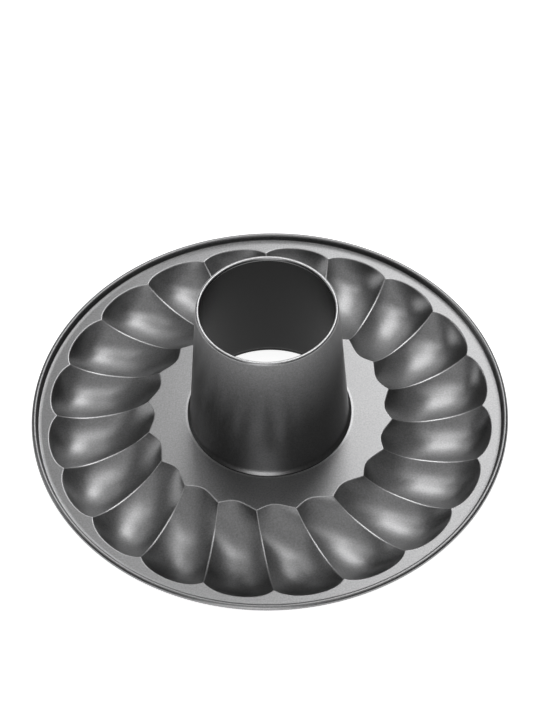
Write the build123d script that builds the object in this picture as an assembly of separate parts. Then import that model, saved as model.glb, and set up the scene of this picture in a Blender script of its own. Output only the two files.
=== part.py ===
from build123d import *
from math import atan2, cos, hypot, pi, radians, sin, sqrt, tan
import os

# ---------------------------------------------------------------------------
# Fluted ring-cake base: a pressed base plate with a ring of slanted flutes,
# and a tapered centre tube whose foot is pushed over the collar of the plate.
# Millimetres, +Z up.  The origin is on the ring's axis, level with the lowest
# points of the flutes, so the pan stands on the plane Z = 0.
# ---------------------------------------------------------------------------

# Base plate
PLATE_SHEET = 0.8            # sheet thickness
RIM_RADIUS = 130.0           # outermost radius, over the rolled bead
BEAD_RADIUS = 1.58           # outer radius of the rolled bead's section
BEAD_RISE = 4.6              # top of the bead above the land
BEAD_WRAP = 280.0            # how far the bead is rolled round, degrees
RIM_BEND_RADIUS = 1.0        # inside bend between land and rim wall
COLLAR_BORE_RADIUS = 43.2    # inside radius of the collar round the middle hole
COLLAR_RISE = 1.3            # collar height above the land
COLLAR_BEND_RADIUS = 0.05    # tight inside bend at the collar's root

# Ring of flutes
FLUTE_COUNT = 20
FLUTE_DEPTH = 10.2           # deepest point of a flute below the land
FLUTE_DEEPEST_SHARE = 0.515  # where that point lies, as a share of the way outwards
FLUTE_INNER_TIP = 63.0       # radius at the round inner end of a flute
FLUTE_OUTER_TIP = 121.2      # radius at the round outer end of a flute
FLUTE_INNER_SLOPE = 31.5     # how steeply the floor rises at the inner end, degrees
FLUTE_OUTER_SLOPE = 50.9     # how steeply it rises at the outer end, degrees
CREST_INNER_CUSP = 67.2      # radius where a crest meets the inner land
CREST_OUTER_CUSP = 116.5     # radius where a crest meets the outer land
CREST_DIP = 6.7              # lowest point of a crest below the land
CREST_INNER_SLOPE = 36.3     # how steeply a crest rises at its inner end, degrees
CREST_OUTER_SLOPE = 32.0     # how steeply it rises at its outer end, degrees
CREST_SWEEP = 6.9            # outer cusp leads the inner cusp, degrees
CREST_ROUNDING = 1.3         # radius pressed on the crests and the flutes' top edges

# Centre tube
TUBE_SHEET = 0.8             # sheet thickness
TUBE_RISE = 84.8             # top of the tube above the land
TUBE_TOP_RADIUS = 37.3       # outside radius just below the curl
TUBE_TAPER = 4.27            # lean of the wall from upright, degrees
CURL_RADIUS = 1.2            # outer radius of the curl's section
CURL_WRAP = 250.0            # how far the curl is rolled inward, degrees
FOOT_CLEARANCE = 0.1         # gap between collar and foot
FOOT_STRAIGHT = 1.4          # upright part of the foot
SHOULDER_LEAN = 30.0         # lean of the shoulder over the collar, degrees
SHOULDER_BEND_RADIUS = 1.6   # middle-of-sheet radius of both shoulder bends
FOOT_EDGE_ROUNDING = 0.3     # outer lower edge of the foot

LAND_LEVEL = FLUTE_DEPTH + PLATE_SHEET      # top face of the flat land


def sheet_strip(start, heading, moves, thickness):
    """Face of a strip of even thickness that follows straights and bends.

    start is the middle of the strip (radius, height), heading is in degrees,
    and each move is ("straight", length) or ("bend", radius, turn), where the
    radius is to the middle of the sheet and a positive turn is to the left.
    """
    half = thickness / 2
    x, z = start
    direction = radians(heading)
    left, right = [], []

    def beside(px, pz, angle, side):
        return (px - side * half * sin(angle), pz + side * half * cos(angle))

    start_cap = Line(beside(x, z, direction, -1), beside(x, z, direction, 1))
    for move in moves:
        if move[0] == "straight":
            nx, nz = x + move[1] * cos(direction), z + move[1] * sin(direction)
            for edges, side in ((left, 1), (right, -1)):
                edges.append(Line(beside(x, z, direction, side), beside(nx, nz, direction, side)))
            x, z = nx, nz
            continue
        radius, turn = move[1], radians(move[2])
        hand = 1 if turn > 0 else -1
        cx, cz = x - hand * radius * sin(direction), z + hand * radius * cos(direction)
        middle, end = direction + turn / 2, direction + turn
        for edges, side in ((left, 1), (right, -1)):
            reach = radius - hand * side * half

            def on_arc(angle):
                return (cx + hand * reach * sin(angle), cz - hand * reach * cos(angle))

            if reach > 1e-4:
                edges.append(ThreePointArc(on_arc(direction), on_arc(middle), on_arc(end)))
        x, z = cx + hand * radius * sin(end), cz - hand * radius * cos(end)
        direction = end
    end_cap = Line(beside(x, z, direction, 1), beside(x, z, direction, -1))
    outline = Wire([start_cap] + left + [end_cap] + right)
    return Plane.XZ * Face(outline)


def arch(radius, inner, outer, deepest_share, depth, inner_slope, outer_slope):
    """Depth below the land along a flute floor or a crest, for a distance from the axis.

    The arch is level at its deepest place and rises to the land at the given slopes.
    """
    deepest = inner + (outer - inner) * deepest_share
    span, slope = (deepest - inner, inner_slope) if radius < deepest else (outer - deepest, outer_slope)
    power = tan(radians(slope)) * span / depth
    return depth * (1 - (abs(radius - deepest) / span) ** power)


def crest_angle(radius):
    """Turn of a crest from its outer cusp, in radians; crests are straight in plan."""
    sweep = radians(CREST_SWEEP)
    inner_x, inner_y = CREST_INNER_CUSP * cos(sweep), -CREST_INNER_CUSP * sin(sweep)
    along_x, along_y = CREST_OUTER_CUSP - inner_x, -inner_y
    length = hypot(along_x, along_y)
    along_x, along_y = along_x / length, along_y / length
    nearest = inner_x * along_x + inner_y * along_y
    foot_x, foot_y = inner_x - nearest * along_x, inner_y - nearest * along_y
    reach = sqrt(radius**2 - foot_x**2 - foot_y**2)
    return atan2(foot_y + reach * along_y, foot_x + reach * along_x)


def flute_point(radius, share):
    """Point on a flute's upper face; share runs 0 to 1 from one crest to the next."""
    floor = arch(radius, FLUTE_INNER_TIP, FLUTE_OUTER_TIP, FLUTE_DEEPEST_SHARE,
                 FLUTE_DEPTH, FLUTE_INNER_SLOPE, FLUTE_OUTER_SLOPE)
    crest = arch(radius, CREST_INNER_CUSP, CREST_OUTER_CUSP, 0.5,
                 CREST_DIP, CREST_INNER_SLOPE, CREST_OUTER_SLOPE)
    depth = crest + (floor - crest) * (1 - (2 * share - 1) ** 2)
    angle = pi / 2 + crest_angle(radius) + share * 2 * pi / FLUTE_COUNT
    return Vector(radius * cos(angle), radius * sin(angle), LAND_LEVEL - depth)


def flute_face(offset):
    """Curved face of one flute, moved offset millimetres straight out of its underside."""
    overrun, stations, steps = 0.12, 22, 13
    inner, outer = FLUTE_INNER_TIP - 2.5, FLUTE_OUTER_TIP + 2.2
    grid = []
    for i in range(stations):
        radius = inner + (outer - inner) * i / (stations - 1)
        row = []
        for j in range(steps):
            share = -overrun + (1 + 2 * overrun) * j / (steps - 1)
            here = flute_point(radius, share)
            along = flute_point(radius + 0.01, share) - flute_point(radius - 0.01, share)
            across = flute_point(radius, share + 0.001) - flute_point(radius, share - 0.001)
            normal = along.cross(across).normalized()
            row.append(here - normal * offset)
        grid.append(row)
    return Face.make_surface_from_array_of_points(grid, tol=0.01, min_deg=3, max_deg=5)


def flute_edges(plate, level):
    """Crests and scalloped edges that reach up to the given level of the land."""
    curved = [e for e in plate.edges() if e.geom_type == GeomType.BSPLINE]
    return [e for e in curved if abs(e.bounding_box().max.Z - level) < 0.01]


def fluted_base():
    """Base plate: collar, land, flutes, rim wall and rolled bead, one pressed sheet."""
    half = PLATE_SHEET / 2
    mid_land = LAND_LEVEL - half
    collar_mid = COLLAR_BORE_RADIUS + half
    collar_bend = COLLAR_BEND_RADIUS + half
    bead_bend = BEAD_RADIUS - half
    rim_bend = RIM_BEND_RADIUS + half
    wall_mid = RIM_RADIUS - BEAD_RADIUS - bead_bend
    bead_centre = BEAD_RISE - BEAD_RADIUS
    blank = sheet_strip(
        (collar_mid, LAND_LEVEL + COLLAR_RISE), -90,
        [
            ("straight", COLLAR_RISE - COLLAR_BEND_RADIUS),
            ("bend", collar_bend, 90),
            ("straight", wall_mid - rim_bend - collar_mid - collar_bend),
            ("bend", rim_bend, 90),
            ("straight", bead_centre + half - rim_bend),
            ("bend", bead_bend, -BEAD_WRAP),
        ],
        PLATE_SHEET,
    )
    plate = revolve(blank, Axis.Z)

    turns = [360 / FLUTE_COUNT * k for k in range(FLUTE_COUNT)]
    up = 3 * FLUTE_DEPTH
    pod = extrude(flute_face(PLATE_SHEET), up, dir=(0, 0, 1))
    keep = Pos(0, 0, mid_land - up) * Cylinder(RIM_RADIUS, up, align=(Align.CENTER, Align.CENTER, Align.MIN))
    pod = pod & keep
    hollow = extrude(flute_face(0), up, dir=(0, 0, 1))
    plate = plate.fuse(*[Rot(0, 0, a) * pod for a in turns])
    plate = plate.cut(*[Rot(0, 0, a) * hollow for a in turns])
    plate = plate.fillet(CREST_ROUNDING, flute_edges(plate, LAND_LEVEL))
    return plate.fillet(CREST_ROUNDING - PLATE_SHEET, flute_edges(plate, LAND_LEVEL - PLATE_SHEET))


def centre_tube():
    """Tapered tube: foot over the collar, shoulder, leaning wall and inward curl."""
    half = TUBE_SHEET / 2
    foot_mid = COLLAR_BORE_RADIUS + PLATE_SHEET + FOOT_CLEARANCE + half
    taper, lean = radians(TUBE_TAPER), radians(SHOULDER_LEAN)
    bend = SHOULDER_BEND_RADIUS
    curl_bend = CURL_RADIUS - half
    curl_centre = (TUBE_TOP_RADIUS - CURL_RADIUS, TUBE_RISE - CURL_RADIUS)
    # end of the leaning wall, where the curl starts
    top = (curl_centre[0] + curl_bend * cos(taper), curl_centre[1] + curl_bend * sin(taper))
    # foot and shoulder bends, then the straight shoulder that reaches the wall
    x = foot_mid - bend * (1 - cos(lean)) - bend * (cos(taper) - cos(lean))
    z = FOOT_STRAIGHT + bend * sin(lean) + bend * (sin(lean) - sin(taper))
    gap = x - (top[0] + (top[1] - z) * tan(taper))
    shoulder = gap / (sin(lean) - cos(lean) * tan(taper))
    x, z = x - shoulder * sin(lean), z + shoulder * cos(lean)
    wall = hypot(x - top[0], top[1] - z)
    section = sheet_strip(
        (foot_mid, LAND_LEVEL), 90,
        [
            ("straight", FOOT_STRAIGHT),
            ("bend", bend, SHOULDER_LEAN),
            ("straight", shoulder),
            ("bend", bend, TUBE_TAPER - SHOULDER_LEAN),
            ("straight", wall),
            ("bend", curl_bend, CURL_WRAP),
        ],
        TUBE_SHEET,
    )
    tube = revolve(section, Axis.Z)
    lowest = tube.edges().filter_by(GeomType.CIRCLE).group_by(Axis.Z)[0]
    return tube.fillet(FOOT_EDGE_ROUNDING, [max(lowest, key=lambda e: e.length)])


os.makedirs("parts", exist_ok=True)
base = fluted_base()
tube = centre_tube()
export_step(base, "parts/fluted_base.step")
export_step(tube, "parts/centre_tube.step")
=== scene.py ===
"""Fluted ring-cake base with a centre tube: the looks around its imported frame.

The pan is two pressed sheets under one dark non-stick coat: a base plate with a
ring of slanted flutes, and a tapered tube pushed over the plate's collar.
Lengths are in millimetres in the pan's classes and become metres in its meshes.
The studio's classes are in metres.
"""

import logging
import math
from dataclasses import dataclass, field
from enum import Enum
from typing import Any, Sequence

import bpy
import numpy as np
from mathutils import Matrix, Vector

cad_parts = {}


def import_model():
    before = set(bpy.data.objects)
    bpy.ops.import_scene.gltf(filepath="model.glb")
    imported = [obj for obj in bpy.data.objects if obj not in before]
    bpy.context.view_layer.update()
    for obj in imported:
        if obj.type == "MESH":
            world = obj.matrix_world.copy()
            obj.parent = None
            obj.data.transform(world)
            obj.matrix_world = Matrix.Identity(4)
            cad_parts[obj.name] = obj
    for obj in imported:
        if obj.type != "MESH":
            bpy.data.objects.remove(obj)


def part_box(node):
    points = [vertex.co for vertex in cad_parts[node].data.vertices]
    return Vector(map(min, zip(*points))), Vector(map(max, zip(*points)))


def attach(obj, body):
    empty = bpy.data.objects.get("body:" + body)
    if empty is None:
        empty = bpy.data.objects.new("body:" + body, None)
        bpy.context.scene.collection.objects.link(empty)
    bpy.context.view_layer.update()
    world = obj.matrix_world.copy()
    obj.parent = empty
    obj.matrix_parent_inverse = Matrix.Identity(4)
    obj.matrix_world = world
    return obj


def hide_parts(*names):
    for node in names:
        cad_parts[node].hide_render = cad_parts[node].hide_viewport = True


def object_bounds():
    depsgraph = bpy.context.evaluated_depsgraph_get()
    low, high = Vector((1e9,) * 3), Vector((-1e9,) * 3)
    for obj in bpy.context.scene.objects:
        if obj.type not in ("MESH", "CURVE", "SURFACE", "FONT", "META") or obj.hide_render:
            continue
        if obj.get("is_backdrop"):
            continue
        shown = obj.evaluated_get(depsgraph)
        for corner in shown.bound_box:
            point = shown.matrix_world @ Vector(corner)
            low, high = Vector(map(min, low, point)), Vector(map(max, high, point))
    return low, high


LOG = logging.getLogger("ring_cake_base")
MILLIMETRE = 0.001
PAINTED_LIGHT = "painted_light"  # the points' attribute of painted highlight (above 0) and painted shade (below 0) that the coat reads
WHITE = (1.0, 1.0, 1.0, 1.0)
NOISE_DETAIL = 2.0
HALVINGS = 40  # of the span in which a flute's edge is searched
SMALLEST_BLEND = 1e-6  # keeps two equal slopes from dividing by zero
TURN_NUDGE = 1e-9  # keeps a point on a crest with the flute ahead of it


class Operation(Enum):
    """What a Math node works out."""

    ADD = "ADD"
    SUBTRACT = "SUBTRACT"
    MULTIPLY = "MULTIPLY"
    MAXIMUM = "MAXIMUM"


class Side(Enum):
    """Which of its piece's coats a face wears, as its place in the list of coats."""

    BAKING = 0
    OUTER = 1


class End(Enum):
    """End of a flute, as the way along the radius that leads out of the flute."""

    INNER = -1
    OUTER = 1


# ---------------------------------------------------------------------------
# Shader nodes
# ---------------------------------------------------------------------------


class Wire:
    """One output socket, with the arithmetic that adds Math nodes."""

    def __init__(self, shop: "NodeShop", socket: Any) -> None:
        """Wraps a socket of the shop's tree."""
        self.shop = shop
        self.socket = socket

    def _math(self, operation: Operation, *values: Any) -> "Wire":
        """Adds one Math node.

        Args:
            operation: what the node works out.
            values: links or numbers for its inputs, in order.

        Returns:
            The node's result.
        """
        settings = {"operation": operation.value}
        return self.shop.add("ShaderNodeMath", settings, dict(enumerate(values)))

    def __add__(self, other: Any) -> "Wire":
        """Sum."""
        return self._math(Operation.ADD, self, other)

    __radd__ = __add__

    def __sub__(self, other: Any) -> "Wire":
        """Difference."""
        return self._math(Operation.SUBTRACT, self, other)

    def __rsub__(self, other: Any) -> "Wire":
        """Difference, the other way round."""
        return self._math(Operation.SUBTRACT, other, self)

    def __mul__(self, other: Any) -> "Wire":
        """Product."""
        return self._math(Operation.MULTIPLY, self, other)

    __rmul__ = __mul__

    def larger(self, other: Any) -> "Wire":
        """The larger of this and another value."""
        return self._math(Operation.MAXIMUM, self, other)


class NodeShop:
    """Adds nodes to one node tree."""

    def __init__(self, tree: Any) -> None:
        """Clears the tree and takes it over."""
        self.tree = tree
        tree.nodes.clear()

    def add(
        self,
        kind: str,
        settings: dict[str, Any] | None = None,
        inputs: dict[str | int, Any] | None = None,
        output: str | int = 0,
    ) -> Wire:
        """Adds a node.

        Args:
            kind: the node's type.
            settings: properties, set before the inputs.
            inputs: socket name or number to a link or a plain value.
            output: which output to hand back.

        Returns:
            The wrapped output, with no socket if the node has none.
        """
        node = self.tree.nodes.new(kind)
        for name, value in (settings or {}).items():
            setattr(node, name, value)
        for name, value in (inputs or {}).items():
            if isinstance(value, Wire):
                self.tree.links.new(value.socket, node.inputs[name])
            else:
                node.inputs[name].default_value = value
        return Wire(self, node.outputs[output] if len(node.outputs) else None)

    def noise(self, place: Wire, per_metre: float, roughness: float) -> Wire:
        """Adds three-dimensional noise.

        Args:
            place: where it is looked up.
            per_metre: how many grains lie along a metre.
            roughness: how strong the finer grains are.

        Returns:
            The noise, 0 to 1.
        """
        return self.add(
            "ShaderNodeTexNoise", {"noise_dimensions": "3D"},
            {"Vector": place, "Scale": per_metre, "Detail": NOISE_DETAIL, "Roughness": roughness},
        )

    def colour(self, level: Wire, blue: Wire) -> Wire:
        """Adds a near-grey colour.

        Args:
            level: its red and green.
            blue: its blue.

        Returns:
            The colour.
        """
        return self.add(
            "ShaderNodeCombineColor", {"mode": "RGB"}, {"Red": level, "Green": level, "Blue": blue}
        )


def new_material(name: str) -> tuple[Any, NodeShop]:
    """Starts a material.

    Args:
        name: its name.

    Returns:
        The material, and the shop that adds its nodes.
    """
    made = bpy.data.materials.new(name)
    made.use_nodes = True
    return made, NodeShop(made.node_tree)


# ---------------------------------------------------------------------------
# Finishes
# ---------------------------------------------------------------------------


@dataclass(frozen=True)
class NonstickCoat:
    """Dark grey coat with metal flake, sprayed on and baked.

    The flake shows as a fine speckle in the colour and as tiny facets. The coat is
    paler where the pieces' painted light is above 0, as a painted highlight, and
    darker where it is below 0, as painted shade.
    """

    name: str = "sprayed_nonstick_coat"
    slot: str = "nonstick_coat"
    grey: float = 0.25               # level of the bare coat
    blue_tint: float = 1.01          # how much bluer than grey it is
    speckle: float = 0.1             # how far the flake moves the level
    flake_per_metre: float = 1100.0  # flakes along a metre
    flake_roughness: float = 0.6     # strength of the finer flakes
    cloud_per_metre: float = 38.0    # faint clouds along a metre
    cloud_roughness: float = 0.5     # strength of the finer clouds
    cloud_depth: float = 0.02        # range of the clouds in the level
    roughness: float = 0.33          # mean roughness
    roughness_spread: float = 0.05   # how far the flake moves it
    facet_height: float = 0.00002    # height of the flake, in metres
    facet_strength: float = 0.35     # strength of its bump
    painted_light_grey: float = 0.25        # what a full painted highlight adds to the level
    painted_light_spread: float = 0.4       # how unevenly it does so

    def material(self) -> Any:
        """Builds the material.

        Returns:
            The finished material.
        """
        made, shop = new_material(self.name)
        place = shop.add("ShaderNodeTexCoord", output="Object")
        flake = shop.noise(place, self.flake_per_metre, self.flake_roughness) - 0.5
        cloud = shop.noise(place, self.cloud_per_metre, self.cloud_roughness) - 0.5
        # painted highlight lightens the level where the attribute is above 0; painted shade
        # darkens it below 0
        painted_mark = shop.add("ShaderNodeAttribute", {"attribute_name": PAINTED_LIGHT}, output="Fac")
        painted_mark = painted_mark * (1.0 + flake * (2 * self.painted_light_spread))
        level = self.grey + flake * (2 * self.speckle) + cloud * self.cloud_depth
        level = level + painted_mark * self.painted_light_grey
        rough = self.roughness + flake * (2 * self.roughness_spread)
        facets = shop.add(
            "ShaderNodeBump", None,
            {"Strength": self.facet_strength, "Distance": self.facet_height, "Height": flake},
        )
        skin = shop.add(
            "ShaderNodeBsdfPrincipled", None,
            {
                "Base Color": shop.colour(level, level * self.blue_tint), "Metallic": 1.0,
                "Roughness": rough, "Normal": facets,
            },
        )
        shop.add("ShaderNodeOutputMaterial", None, {"Surface": skin})
        return made


@dataclass(frozen=True)
class PlainOuterCoatPaintedShade:
    """Flakeless coat on the sides that never touch the cake; its near-black level is painted shade
    for the dark inside of the tube and the plate's underside.
    """

    name: str = "plain_outer_coat_painted_shade"
    grey: float = 0.01              # level of the coat, kept near-black as painted shade
    mottle: float = 0.004           # how far the grain moves the level
    grain_per_metre: float = 900.0  # grains along a metre
    grain_roughness: float = 0.5    # strength of the finer grains
    roughness: float = 0.5          # mean roughness
    roughness_spread: float = 0.05  # how far the grain moves it
    gloss: float = 0.25             # strength of the mirror part
    pit_depth: float = 0.00003      # depth of the grain, in metres
    pit_strength: float = 0.4       # strength of its bump

    def material(self) -> Any:
        """Builds the material.

        Returns:
            The finished material.
        """
        made, shop = new_material(self.name)
        place = shop.add("ShaderNodeTexCoord", output="Object")
        grain = shop.noise(place, self.grain_per_metre, self.grain_roughness) - 0.5
        level = self.grey + grain * (2 * self.mottle)
        rough = self.roughness + grain * (2 * self.roughness_spread)
        pits = shop.add(
            "ShaderNodeBump", None,
            {"Strength": self.pit_strength, "Distance": self.pit_depth, "Height": grain},
        )
        skin = shop.add(
            "ShaderNodeBsdfPrincipled", None,
            {
                "Base Color": shop.colour(level, level), "Metallic": 0.0, "Roughness": rough,
                "Specular IOR Level": self.gloss, "Normal": pits,
            },
        )
        shop.add("ShaderNodeOutputMaterial", None, {"Surface": skin})
        return made


# ---------------------------------------------------------------------------
# Meshes
# ---------------------------------------------------------------------------


@dataclass
class SheetPath:
    """Middle line of a strip of sheet in the plane of radius and height, in millimetres.

    The strip is followed with straights and bends, and both faces are collected.
    """

    radius: float          # present place of the middle line
    height: float          # its height
    heading: float         # degrees from outwards, up is 90
    thickness: float       # of the sheet
    fineness: float = 7.0  # most degrees that one row of a bend turns
    left: list[tuple[float, float]] = field(default_factory=list)  # points of the left face
    right: list[tuple[float, float]] = field(default_factory=list)  # points of the right face

    def _mark(self) -> None:
        """Adds the two face points beside the present place."""
        angle = math.radians(self.heading)
        side = (-math.sin(angle) * self.thickness / 2, math.cos(angle) * self.thickness / 2)
        self.left.append((self.radius + side[0], self.height + side[1]))
        self.right.append((self.radius - side[0], self.height - side[1]))

    def straight(self, length: float, steps: int = 1) -> "SheetPath":
        """Goes straight on.

        Args:
            length: how far.
            steps: number of rows that the length is cut into.

        Returns:
            This path.
        """
        if not self.left:
            self._mark()
        angle = math.radians(self.heading)
        for _ in range(steps):
            self.radius += length / steps * math.cos(angle)
            self.height += length / steps * math.sin(angle)
            self._mark()
        return self

    def bend(self, radius: float, turn: float) -> "SheetPath":
        """Goes round a bend.

        Args:
            radius: bend radius to the middle of the sheet.
            turn: degrees, positive to the left.

        Returns:
            This path.
        """
        hand = math.copysign(1, turn)
        steps = max(2, math.ceil(abs(turn) / self.fineness))
        angle = math.radians(self.heading)
        centre = (
            self.radius - hand * radius * math.sin(angle),
            self.height + hand * radius * math.cos(angle),
        )
        for step in range(1, steps + 1):
            here = angle + math.radians(turn) * step / steps
            self.radius = centre[0] + hand * radius * math.sin(here)
            self.height = centre[1] - hand * radius * math.cos(here)
            self.heading = math.degrees(here)
            self._mark()
        return self


def grid_piece(
    name: str, rows: np.ndarray, coated_rows: int, painted_light: np.ndarray,
    sharp_degrees: float = 50.0,
) -> Any:
    """Makes a closed ring-shaped solid from rows of points that run round it.

    Args:
        name: the piece's name.
        rows: array of rows x columns x 3, in millimetres; the last row joins the first.
        coated_rows: how many rows of faces, from the first, lie on the baking side.
        painted_light: array of rows x columns, painted highlight at each point, up to 1,
        and painted shade where it is below 0.
        sharp_degrees: edges that turn by more stay crisp.

    Returns:
        The new object.
    """
    count, columns = rows.shape[:2]
    index = np.arange(count * columns).reshape(count, columns)
    below, beside = np.roll(index, -1, 0), np.roll(index, -1, 1)
    corner = np.roll(below, -1, 1)
    faces = np.stack([index, beside, corner, below], -1).reshape(-1, 4)
    mesh = bpy.data.meshes.new(name)
    mesh.from_pydata((rows.reshape(-1, 3) * MILLIMETRE).tolist(), [], faces.tolist())
    outside = np.arange(count) >= coated_rows
    side = np.where(outside, Side.OUTER.value, Side.BAKING.value).astype(np.int32)
    mesh.polygons.foreach_set("material_index", np.repeat(side, columns))
    # painted highlight and painted shade per point, read by the coat
    mesh.attributes.new(PAINTED_LIGHT, "FLOAT", "POINT").data.foreach_set("value", painted_light.ravel())
    mesh.shade_smooth()
    mesh.set_sharp_from_angle(angle=math.radians(sharp_degrees))
    mesh.update()
    piece = bpy.data.objects.new(name, mesh)
    bpy.context.scene.collection.objects.link(piece)
    return piece


def rounded_larger(
    first: np.ndarray, second: np.ndarray,
    first_slope: np.ndarray, second_slope: np.ndarray, radius: float,
) -> tuple[np.ndarray, np.ndarray, np.ndarray]:
    """Larger of two depths, with the edge where they meet rounded to a radius.

    Args:
        first: one depth.
        second: the other depth.
        first_slope: its slope in x and y, in the last axis.
        second_slope: the other's slope.
        radius: radius of the rounding, in the depths' unit.

    Returns:
        The blended depth, its slope, and how near each point is to the top of the
        rounding, from 0 outside it to 1.
    """
    change = first_slope - second_slope
    mean = (first_slope + second_slope) / 2
    lean = (1 + (mean**2).sum(-1)) ** 1.5
    width = np.maximum(radius * (change**2).sum(-1) / (2 * lean), SMALLEST_BLEND)
    gap = first - second
    blend = np.clip(width - np.abs(gap), 0, None)
    depth = np.maximum(first, second) + blend**2 / (4 * width)
    share = np.clip(0.5 + gap / (2 * width), 0, 1)[..., None]
    return depth, share * first_slope + (1 - share) * second_slope, blend / width


@dataclass
class Flutes:
    """Ring of slanted hollows pressed into the plate."""

    count: int = 20                  # number of flutes
    depth: float = 10.2              # deepest point below the land
    deepest_share: float = 0.515     # where it lies, as a share of the way outwards
    inner_tip: float = 63.0          # radius at the round inner end
    outer_tip: float = 121.2         # radius at the round outer end
    inner_slope: float = 31.5        # slope of the floor at the inner end, degrees
    outer_slope: float = 50.9        # its slope at the outer end
    inner_cusp: float = 67.2         # radius where a crest meets the inner land
    outer_cusp: float = 116.5        # radius where it meets the outer land
    crest_dip: float = 6.7           # lowest point of a crest below the land
    crest_inner_slope: float = 36.3  # slope of a crest at its inner end, degrees
    crest_outer_slope: float = 32.0  # its slope at the outer end
    sweep: float = 6.9               # how far the outer cusp leads the inner one, degrees
    slope_step: float = 0.02         # half the span that slopes are measured over
    crest_highlight_depth: float = 0.3          # crests above this depth get no painted highlight

    @property
    def pitch(self) -> float:
        """Angle from one crest to the next, in radians."""
        return 2 * math.pi / self.count

    @staticmethod
    def _arch(
        radius: np.ndarray, inner: float, outer: float, deepest_share: float,
        depth: float, inner_slope: float, outer_slope: float,
    ) -> np.ndarray:
        """Depth along a floor or a crest at a distance from the axis.

        Args:
            radius: distances from the axis.
            inner: where the arch starts.
            outer: where it ends.
            deepest_share: share of the way between them where it is deepest.
            depth: its depth there.
            inner_slope: its slope at the inner end, in degrees.
            outer_slope: its slope at the outer end, in degrees.

        Returns:
            The depths, negative beyond the ends.
        """
        deepest = inner + (outer - inner) * deepest_share
        left = depth
        for span, ahead, slope in (
            (deepest - inner, deepest - radius, inner_slope),
            (outer - deepest, radius - deepest, outer_slope),
        ):
            power = math.tan(math.radians(slope)) * span / depth
            left = left - depth * (np.clip(ahead, 0, None) / span) ** power
        return left

    def crest_turn(self, radius: np.ndarray) -> np.ndarray:
        """Turn of a crest from its outer cusp, in radians; crests are straight in plan."""
        sweep = math.radians(self.sweep)
        start = np.array([math.cos(sweep), -math.sin(sweep)]) * self.inner_cusp
        along = np.array([self.outer_cusp, 0.0]) - start
        along /= np.linalg.norm(along)
        foot = start - (start @ along) * along
        reach = np.sqrt(np.maximum(radius**2 - foot @ foot, 0))
        return np.arctan2(foot[1] + reach * along[1], foot[0] + reach * along[0])

    def hollow(self, radius: np.ndarray, turn: np.ndarray, flute: np.ndarray) -> np.ndarray:
        """Depth of one flute's surface, carried on past its own edges.

        Args:
            radius: distances from the axis.
            turn: angles from the first crest's outer cusp, in radians.
            flute: number of the flute.

        Returns:
            The depths below the land.
        """
        share = (turn - self.crest_turn(radius)) / self.pitch - flute
        floor = self._arch(
            radius, self.inner_tip, self.outer_tip, self.deepest_share,
            self.depth, self.inner_slope, self.outer_slope,
        )
        crest = self._arch(
            radius, self.inner_cusp, self.outer_cusp, 0.5,
            self.crest_dip, self.crest_inner_slope, self.crest_outer_slope,
        )
        return crest + (floor - crest) * (1 - (2 * share - 1) ** 2)

    def hollow_slope(self, radius: np.ndarray, turn: np.ndarray, flute: np.ndarray) -> np.ndarray:
        """Slope of one flute's surface along the radius and across it, in the last axis."""
        step = self.slope_step
        along = self.hollow(radius + step, turn, flute) - self.hollow(radius - step, turn, flute)
        ahead, behind = turn + step / radius, turn - step / radius
        across = self.hollow(radius, ahead, flute) - self.hollow(radius, behind, flute)
        return np.stack([along, across], -1) / (2 * step)

    def surface(
        self, radius: np.ndarray, turn: np.ndarray, share: np.ndarray, rounding: float,
    ) -> tuple[np.ndarray, np.ndarray, np.ndarray]:
        """Depth of the pressed plate with its crests and edges rounded.

        Args:
            radius: distances from the axis.
            turn: angles from the first crest's outer cusp.
            share: place between two crests, 0 to 1.
            rounding: radius of the rounding.

        Returns:
            The depth below the land, its slope along the radius and across it, and how
            near each point is to the top of a crest or an edge, 0 to 1.
        """
        own = np.floor((turn - self.crest_turn(radius)) / self.pitch + TURN_NUDGE)
        next_door = own + np.where(share < 0.5, -1, 1)
        depth, slope, crest = rounded_larger(
            self.hollow(radius, turn, own), self.hollow(radius, turn, next_door),
            self.hollow_slope(radius, turn, own), self.hollow_slope(radius, turn, next_door),
            rounding,
        )
        depth, slope, edge = rounded_larger(
            depth, np.zeros_like(depth), slope, np.zeros_like(slope), rounding
        )
        # nearness to the top of a crest or an edge is handed back as a painted highlight
        return depth, slope, np.maximum(crest * (depth > self.crest_highlight_depth), edge)

    def edge(self, share: np.ndarray, end: End) -> np.ndarray:
        """Radius of a flute's scalloped edge.

        Args:
            share: places between two crests, 0 to 1.
            end: which end of the flute.

        Returns:
            The radii where the hollow reaches the land.
        """
        deepest = self.inner_tip + (self.outer_tip - self.inner_tip) * self.deepest_share
        inside = np.full_like(share, deepest)
        tip = self.outer_tip if end is End.OUTER else self.inner_tip
        outside = np.full_like(share, tip + end.value)
        for _ in range(HALVINGS):
            middle = (inside + outside) / 2
            turn = self.crest_turn(middle) + share * self.pitch
            below = self.hollow(middle, turn, np.zeros_like(middle)) > 0
            inside, outside = np.where(below, middle, inside), np.where(below, outside, middle)
        return (inside + outside) / 2


def every_second(rows: Sequence[Any]) -> list[Any]:
    """Thins rows that are little seen, and keeps the first and the last.

    Args:
        rows: the rows, or their numbers.

    Returns:
        Every second one, and the last.
    """
    return [*rows[:-1:2], rows[-1]]


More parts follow.
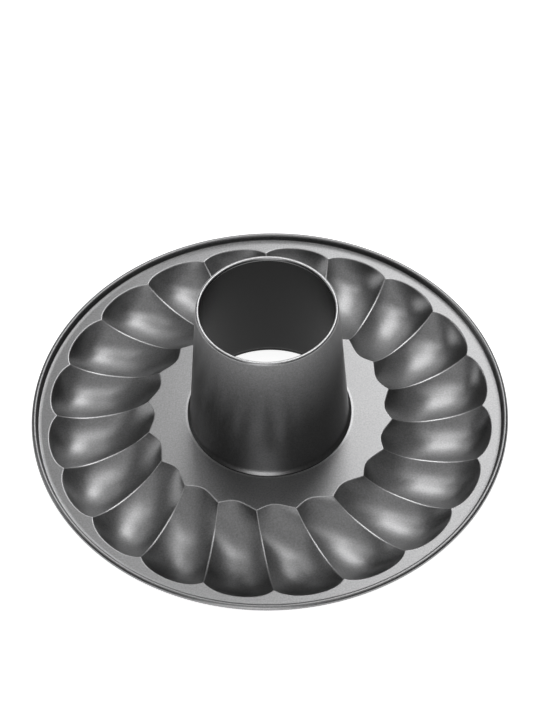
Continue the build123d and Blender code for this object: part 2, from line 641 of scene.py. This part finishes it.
@dataclass
class FlutedBase:
    """Pressed base plate: collar, flat land, ring of flutes, rim wall and rolled bead."""

    sheet: float = 0.8             # thickness
    rim_radius: float = 130.0      # outermost radius, over the bead
    bead_radius: float = 1.58      # outer radius of the bead's section
    bead_rise: float = 3.7         # top of the bead above the land
    bead_wrap: float = 280.0       # how far the bead is rolled, degrees
    rim_bend: float = 0.8          # inside bend between land and wall
    dish_radius: float = 124.5     # radius where the outer land starts to rise
    dish_degrees: float = 6.0      # how steeply it rises
    dish_bend: float = 4.0         # bend at the start of the rise
    dish_lead: float = 0.1         # flat row before the rise
    collar_bore: float = 43.2      # inside radius of the collar
    collar_rise: float = 1.2       # top of the collar above the land
    collar_bend: float = 0.05      # inside bend at its root
    tube_ring_width: float = 1.95  # from the collar to the end of the ring lightened by a painted highlight
    tube_ring_rows: int = 3        # rows across it
    tube_ring_highlight: float = 0.4    # painted highlight of that ring
    lead: float = 0.15             # row in which the painted highlight fades
    rounding: float = 1.3          # radius on the crests and the flutes' edges
    fineness: float = 14.0         # most degrees that one row of a bend turns
    wall_rows: int = 2             # rows up the wall and the dish
    floor_rows: int = 24           # rows along a flute's floor
    flute_width: float = 28.9      # width of a flute halfway outwards
    turn_margin: float = 5.0       # how far past their cusps the crests are followed
    flutes: Flutes = field(default_factory=Flutes)
    coats: tuple[NonstickCoat, PlainOuterCoatPaintedShade] = (NonstickCoat(), PlainOuterCoatPaintedShade())

    @property
    def land(self) -> float:
        """Height of the flat land's upper face."""
        return self.flutes.depth + self.sheet

    def _shares(self) -> np.ndarray:
        """Columns across one flute, closer together beside the crests."""
        beside = np.array([
            0, .16, .32, .48, .64, .82, 1.05, 1.5, 2.2, 3.2, 4.5, 6.2, 8.2, 10.3, 12.4,
        ])
        half = beside / self.flute_width
        return np.concatenate([half, [0.5], 1 - half[:0:-1]])

    def _stations(self, inner: np.ndarray, outer: np.ndarray) -> np.ndarray:
        """Rows from the inner land to the outer land, closer together at the flutes' edges.

        Args:
            inner: radius of the inner scalloped edge in each column.
            outer: radius of the outer scalloped edge in each column.

        Returns:
            Array of rows x columns of radii.
        """
        edge = np.array([0, .13, .27, .42, .58, .76, 1.0, 1.4, 2.0, 2.8])
        before = inner - np.concatenate([edge[:0:-1], [0]])[:, None]
        after = outer + np.concatenate([[0], edge[1:-3]])[:, None]
        rise = inner + edge[1:, None]
        fall = outer - edge[:0:-1, None]
        steps = np.linspace(0, 1, self.floor_rows + 2)[1:-1, None]
        floor = rise[-1] + (fall[0] - rise[-1]) * steps
        return np.concatenate([before, rise, floor, fall, after])

    def _collar_and_rim(self) -> tuple[SheetPath, SheetPath]:
        """Sections of the collar and of the rim, both followed outwards."""
        half = self.sheet / 2
        middle = self.land - half
        top = self.land + self.collar_rise
        collar = SheetPath(self.collar_bore + half, top, -90, self.sheet, self.fineness)
        collar.straight(self.collar_rise - self.collar_bend)
        collar.bend(self.collar_bend + half, 90)
        collar.straight(self.tube_ring_width, self.tube_ring_rows).straight(self.lead)
        bead_bend = self.bead_radius - half
        wall = self.rim_radius - self.bead_radius - bead_bend
        bend = self.rim_bend + half
        dish = math.radians(self.dish_degrees)
        rim = SheetPath(self.dish_radius, middle, 0, self.sheet, self.fineness)
        rim.straight(self.dish_lead).bend(self.dish_bend, self.dish_degrees)
        dished = (wall - bend * (1 - math.sin(dish)) - rim.radius) / math.cos(dish)
        rim.straight(dished, self.wall_rows).bend(bend, 90 - self.dish_degrees)
        upright = self.land + self.bead_rise - self.bead_radius - rim.height
        rim.straight(upright, self.wall_rows)
        rim.bend(bead_bend, -self.bead_wrap)
        return collar, rim

    def _rows(self) -> tuple[np.ndarray, int, np.ndarray]:
        """Rows of points round the plate: upper face outwards, then underside back.

        Returns:
            The rows, how many of them lie on the baking side, and the painted highlight of their
            points.
        """
        shares = np.tile(self._shares(), self.flutes.count)
        number = np.repeat(np.arange(self.flutes.count), len(shares) // self.flutes.count)
        inner, outer = self.flutes.edge(shares, End.INNER), self.flutes.edge(shares, End.OUTER)
        stations = self._stations(inner, outer)
        first_turn = self.flutes.inner_cusp - self.turn_margin
        last_turn = self.flutes.outer_cusp + self.turn_margin
        held = np.clip(stations, first_turn, last_turn)
        turn = self.flutes.crest_turn(held) + (number + shares) * self.flutes.pitch
        collar, rim = self._collar_and_rim()

        def around(radius: np.ndarray, height: np.ndarray, angle: np.ndarray) -> np.ndarray:
            """Points at a radius, height and angle."""
            start = math.pi / 2
            return np.stack(
                [radius * np.cos(angle + start), radius * np.sin(angle + start), height], -1
            )

        def ring(points: list[tuple[float, float]], angle: np.ndarray) -> np.ndarray:
            """Plain rings of a section's points."""
            radius, height = (np.array(values)[:, None] for values in zip(*points))
            plain = np.ones_like(angle)
            return around(radius * plain, height * plain, angle + 0 * radius)

        depth, slope, crest = self.flutes.surface(stations, turn, shares, self.rounding)
        upper = around(stations, self.land - depth, turn)
        length = np.sqrt(1 + (slope**2).sum(-1))
        across, along = slope[..., 1] / length, slope[..., 0] / length
        radius = stations - self.sheet * along
        angle = turn - self.sheet * across / radius
        lower = around(radius, self.land - depth - self.sheet / length, angle)
        first, last = turn[0], turn[-1]
        above = [ring(collar.left, first), upper, ring(rim.left, last)]
        below = [
            ring(every_second(rim.right[::-1]), last),
            lower[every_second(range(len(lower))[::-1])],
            ring(every_second(collar.right[::-1]), first),
        ]
        rows = np.concatenate(above + below)
        painted_light = np.zeros(rows.shape[:2])
        start = len(above[0])
        # painted highlight on the ring round the collar, then on the crests and the flutes' edges
        painted_light[:start - 1] = self.tube_ring_highlight
        painted_light[start:start + len(crest)] = crest
        return rows, sum(len(part) for part in above), painted_light

    def build(self) -> Any:
        """Makes and dresses the plate.

        Returns:
            The object, riding on the frame.
        """
        piece = grid_piece("pressed_base_plate", *self._rows())
        return dress(piece, self.coats, "fluted_base")


@dataclass
class CentreTube:
    """Tapered tube with a flared foot over the collar and an inward curl at the top.

    Painted shade darkens a seam round the foot's upright edge, and a painted highlight lightens
    the curl's top.
    """

    sheet: float = 0.8           # thickness
    rise: float = 84.8           # top of the tube above the land
    top_radius: float = 37.3     # outside radius just below the curl
    taper: float = 4.27          # lean of the wall from upright, degrees
    curl_radius: float = 1.2     # outer radius of the curl's section
    curl_wrap: float = 250.0     # how far it is rolled, degrees
    foot_clearance: float = 0.1  # gap between collar and foot
    foot_edge: float = 0.3       # height of the foot's upright edge
    foot_lean: float = 45.0      # lean of the flare from upright, degrees
    foot_bend: float = 4.0       # bend between flare and wall
    foot_crease: float = 0.1     # inside bend between edge and flare
    flare_rows: int = 2          # rows up the flare
    wall_rows: int = 24          # rows up the wall
    curl_lead: float = 0.4       # last row of the wall, below the curl
    seam_rows: int = 3           # rows darkened at the foot as painted shade
    seam_shade: float = -0.8     # their painted shade, as a level below 0
    curl_highlight_fade: float = 0.5       # height over which the curl's painted highlight fades
    columns: int = 288           # columns round the tube
    coats: tuple[NonstickCoat, PlainOuterCoatPaintedShade] = (NonstickCoat(), PlainOuterCoatPaintedShade())

    def _foot(self, base: FlutedBase, flare: float) -> SheetPath:
        """Section of the foot, up to where the wall starts.

        Args:
            base: the plate that the tube stands on.
            flare: length of the flare.

        Returns:
            The path.
        """
        half = self.sheet / 2
        outside = base.collar_bore + 2 * base.sheet + self.foot_clearance
        path = SheetPath(outside - half, base.land, 90, self.sheet)
        path.straight(self.foot_edge).bend(half + self.foot_crease, self.foot_lean)
        path.straight(flare, self.flare_rows)
        return path.bend(self.foot_bend, self.taper - self.foot_lean)

    def _section(self, base: FlutedBase) -> tuple[list[tuple[float, float]], int]:
        """Closed section of the tube's sheet.

        Args:
            base: the plate that the tube stands on.

        Returns:
            Radius and height of the section's points in order, and how many of them
            lie on the baking side.
        """
        taper, lean = math.radians(self.taper), math.radians(self.foot_lean)
        curl_bend = self.curl_radius - self.sheet / 2
        centre = (self.top_radius - self.curl_radius, base.land + self.rise - self.curl_radius)
        top = (centre[0] + curl_bend * math.cos(taper), centre[1] + curl_bend * math.sin(taper))
        unflared = self._foot(base, 0.0)
        gap = unflared.radius - (top[0] + (top[1] - unflared.height) * math.tan(taper))
        flare = gap / (math.sin(lean) - math.cos(lean) * math.tan(taper))
        path = self._foot(base, flare)
        wall = math.hypot(path.radius - top[0], top[1] - path.height)
        path.straight(wall - self.curl_lead, self.wall_rows)
        path.straight(self.curl_lead).bend(curl_bend, self.curl_wrap)
        return path.right + path.left[::-1], len(path.right)

    def build(self, base: FlutedBase) -> Any:
        """Makes and dresses the tube.

        Args:
            base: the plate that the tube stands on.

        Returns:
            The object, riding on the frame.
        """
        section, outside = self._section(base)
        radius, height = (np.array(values)[:, None] for values in zip(*section))
        angle = np.arange(self.columns)[None, :] * 2 * math.pi / self.columns
        rows = np.stack(
            [radius * np.cos(angle), radius * np.sin(angle), height + 0 * angle], -1
        )
        # painted highlight grows towards the curl's top; the seam rows at the foot get painted
        # shade
        painted_rows = np.clip((height - base.land - self.rise) / self.curl_highlight_fade + 1, 0, 1)
        painted_rows[:self.seam_rows] = self.seam_shade
        painted_light = painted_rows * np.ones_like(angle)
        piece = grid_piece("tapered_centre_tube", rows, outside, painted_light)
        return dress(piece, self.coats, "centre_tube")


def dress(piece: Any, coats: tuple[NonstickCoat, PlainOuterCoatPaintedShade], node: str) -> Any:
    """Gives a piece its coats and its place on the frame.

    Args:
        piece: the object.
        coats: the coat of its baking side, then that of its other side.
        node: the frame's node that it stands for.

    Returns:
        The same object.
    """
    for coat in coats:
        piece.data.materials.append(bpy.data.materials.get(coat.name) or coat.material())
    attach(piece, "root")
    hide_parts(node)
    low, high = (np.array(corner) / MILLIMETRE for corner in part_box(node))
    points = np.array([v.co for v in piece.data.vertices]) / MILLIMETRE
    off = max(np.abs(points.min(0) - low).max(), np.abs(points.max(0) - high).max())
    LOG.info("%s: %d points, within %.2f mm of its box", piece.name, len(points), off)
    return piece


# ---------------------------------------------------------------------------
# Studio
# ---------------------------------------------------------------------------


@dataclass(frozen=True)
class SoftBox:
    """Rectangular lamp that faces the middle of the pan."""

    name: str
    bearing: float         # degrees from the back, clockwise from above
    height_angle: float    # degrees above the table
    width: float           # size across, in metres
    height: float          # size upwards, in metres
    radiance: float        # brightness, where 1 is a white screen
    distance: float = 1.5  # from the pan, in metres

    def build(self, aim: Vector) -> Any:
        """Hangs the lamp.

        Args:
            aim: the point that it faces.

        Returns:
            The lamp object.
        """
        bearing, lift = math.radians(self.bearing), math.radians(self.height_angle)
        away = Vector((
            math.sin(bearing) * math.cos(lift), math.cos(bearing) * math.cos(lift), math.sin(lift)
        ))
        lamp = bpy.data.lights.new(self.name, "AREA")
        lamp.shape = "RECTANGLE"
        lamp.size, lamp.size_y = self.width, self.height
        area = self.width * self.height
        lamp.energy = self.radiance * math.pi * area
        holder = bpy.data.objects.new(self.name, lamp)
        holder.location = aim + away * self.distance
        holder.rotation_euler = away.to_track_quat("Z", "Y").to_euler()
        holder.visible_camera = False
        bpy.context.scene.collection.objects.link(holder)
        return holder


@dataclass
class Studio:
    """White table, soft lamps, room light and camera."""

    room_light: float = 0.02     # strength of the room
    table_size: float = 12.0     # side of the table, in metres
    table_grey: float = 0.8      # its colour under the lamps
    table_glow: float = 0.93     # its own white, seen and mirrored
    camera_place: tuple[float, float, float] = (0.0009, -0.6780, 0.8764)  # in metres
    camera_dip: float = 50.489   # degrees below level
    camera_roll: float = -1.379  # degrees
    lens: float = 100.34         # focal length, in millimetres
    lamps: tuple[SoftBox, ...] = (
        SoftBox("key_box", 12, 47, 0.53, 0.53, 3.05),
        SoftBox("key_top_box", 22, 62, 0.37, 0.75, 1.75),
        SoftBox("back_box", 2, 34, 1.12, 0.78, 0.75),
        SoftBox("back_low_box", 15, 13, 1.43, 0.5, 0.43),
        SoftBox("left_back_box", -23, 49, 1.06, 1.5, 0.19),
        SoftBox("top_strip", 15, 71, 1.56, 0.4, 1.05),
        SoftBox("overhead_box", 11, 88, 1.27, 1.46, 0.45),
        SoftBox("left_strip", -75, 32, 0.61, 0.48, 1.6),
        SoftBox("front_box", -171, 24, 0.75, 1.24, 2.3),
        SoftBox("front_left_top_box", -131, 65, 1.53, 0.78, 0.26),
        SoftBox("front_right_top_box", 147, 59, 1.4, 0.92, 0.27),
        SoftBox("right_strip", 73, 38, 2.18, 0.32, 0.25),
    )

    def build_room(self) -> None:
        """Sets the room's plain light."""
        world = bpy.data.worlds.new("room")
        bpy.context.scene.world = world
        world.use_nodes = True
        shop = NodeShop(world.node_tree)
        glow = shop.add(
            "ShaderNodeBackground", None, {"Color": WHITE, "Strength": self.room_light}
        )
        shop.add("ShaderNodeOutputWorld", None, {"Surface": glow})

    def build_table(self, level: float) -> Any:
        """Lays the white table.

        Args:
            level: height of its top.

        Returns:
            The table object.
        """
        half = self.table_size / 2
        mesh = bpy.data.meshes.new("table")
        corners = ((-half, -half), (half, -half), (half, half), (-half, half))
        mesh.from_pydata([(x, y, level) for x, y in corners], [], [(0, 1, 2, 3)])
        table = bpy.data.objects.new("table", mesh)
        bpy.context.scene.collection.objects.link(table)
        paint, shop = new_material("table_white")
        seen = shop.add("ShaderNodeLightPath", output="Is Camera Ray")
        mirrored = shop.add("ShaderNodeLightPath", output="Is Glossy Ray")
        through = shop.add("ShaderNodeLightPath", output="Is Transmission Ray")
        grey = (self.table_grey, self.table_grey, self.table_grey, 1.0)
        matt = shop.add("ShaderNodeBsdfDiffuse", None, {"Color": grey})
        glow = shop.add(
            "ShaderNodeEmission", None, {"Color": WHITE, "Strength": self.table_glow}
        )
        shown = shop.add(
            "ShaderNodeMixShader", None, {0: seen.larger(mirrored).larger(through), 2: glow}
        )
        both = shop.add("ShaderNodeAddShader", None, {0: matt, 1: shown})
        shop.add("ShaderNodeOutputMaterial", None, {"Surface": both})
        mesh.materials.append(paint)
        table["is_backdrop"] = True
        return table

    def build_camera(self) -> Any:
        """Sets up the camera.

        Returns:
            The camera object.
        """
        lens = bpy.data.cameras.new("camera")
        lens.sensor_fit = "VERTICAL"
        lens.sensor_height = 36.0
        lens.lens = self.lens
        camera = bpy.data.objects.new("camera", lens)
        dip, roll = math.radians(self.camera_dip), math.radians(self.camera_roll)
        forward = Vector((0, math.cos(dip), -math.sin(dip)))
        right, above = Vector((1, 0, 0)), Vector((0, math.sin(dip), math.cos(dip)))
        side = math.cos(roll) * right + math.sin(roll) * above
        top = -math.sin(roll) * right + math.cos(roll) * above
        turn = Matrix((side, top, -forward)).transposed().to_4x4()
        camera.matrix_world = Matrix.Translation(self.camera_place) @ turn
        bpy.context.scene.collection.objects.link(camera)
        bpy.context.scene.camera = camera
        return camera

    def build(self, low: Vector, high: Vector) -> None:
        """Builds the whole studio round the pan.

        Args:
            low: lowest corner of the pan's box.
            high: highest corner of the pan's box.
        """
        self.build_room()
        self.build_table(low.z)
        aim = Vector(((low.x + high.x) / 2, (low.y + high.y) / 2, low.z))
        for lamp in self.lamps:
            lamp.build(aim)
        self.build_camera()


def main() -> None:
    """Builds the pan round its frame, and the studio round the pan."""
    logging.basicConfig(level=logging.INFO, format="%(message)s")
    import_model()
    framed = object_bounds()
    scene = bpy.context.scene
    scene.view_settings.view_transform = "Standard"
    base = FlutedBase()
    base.build()
    CentreTube().build(base)
    Studio().build(Vector(framed[0]), Vector(framed[1]))


if __name__ == "__main__":
    main()
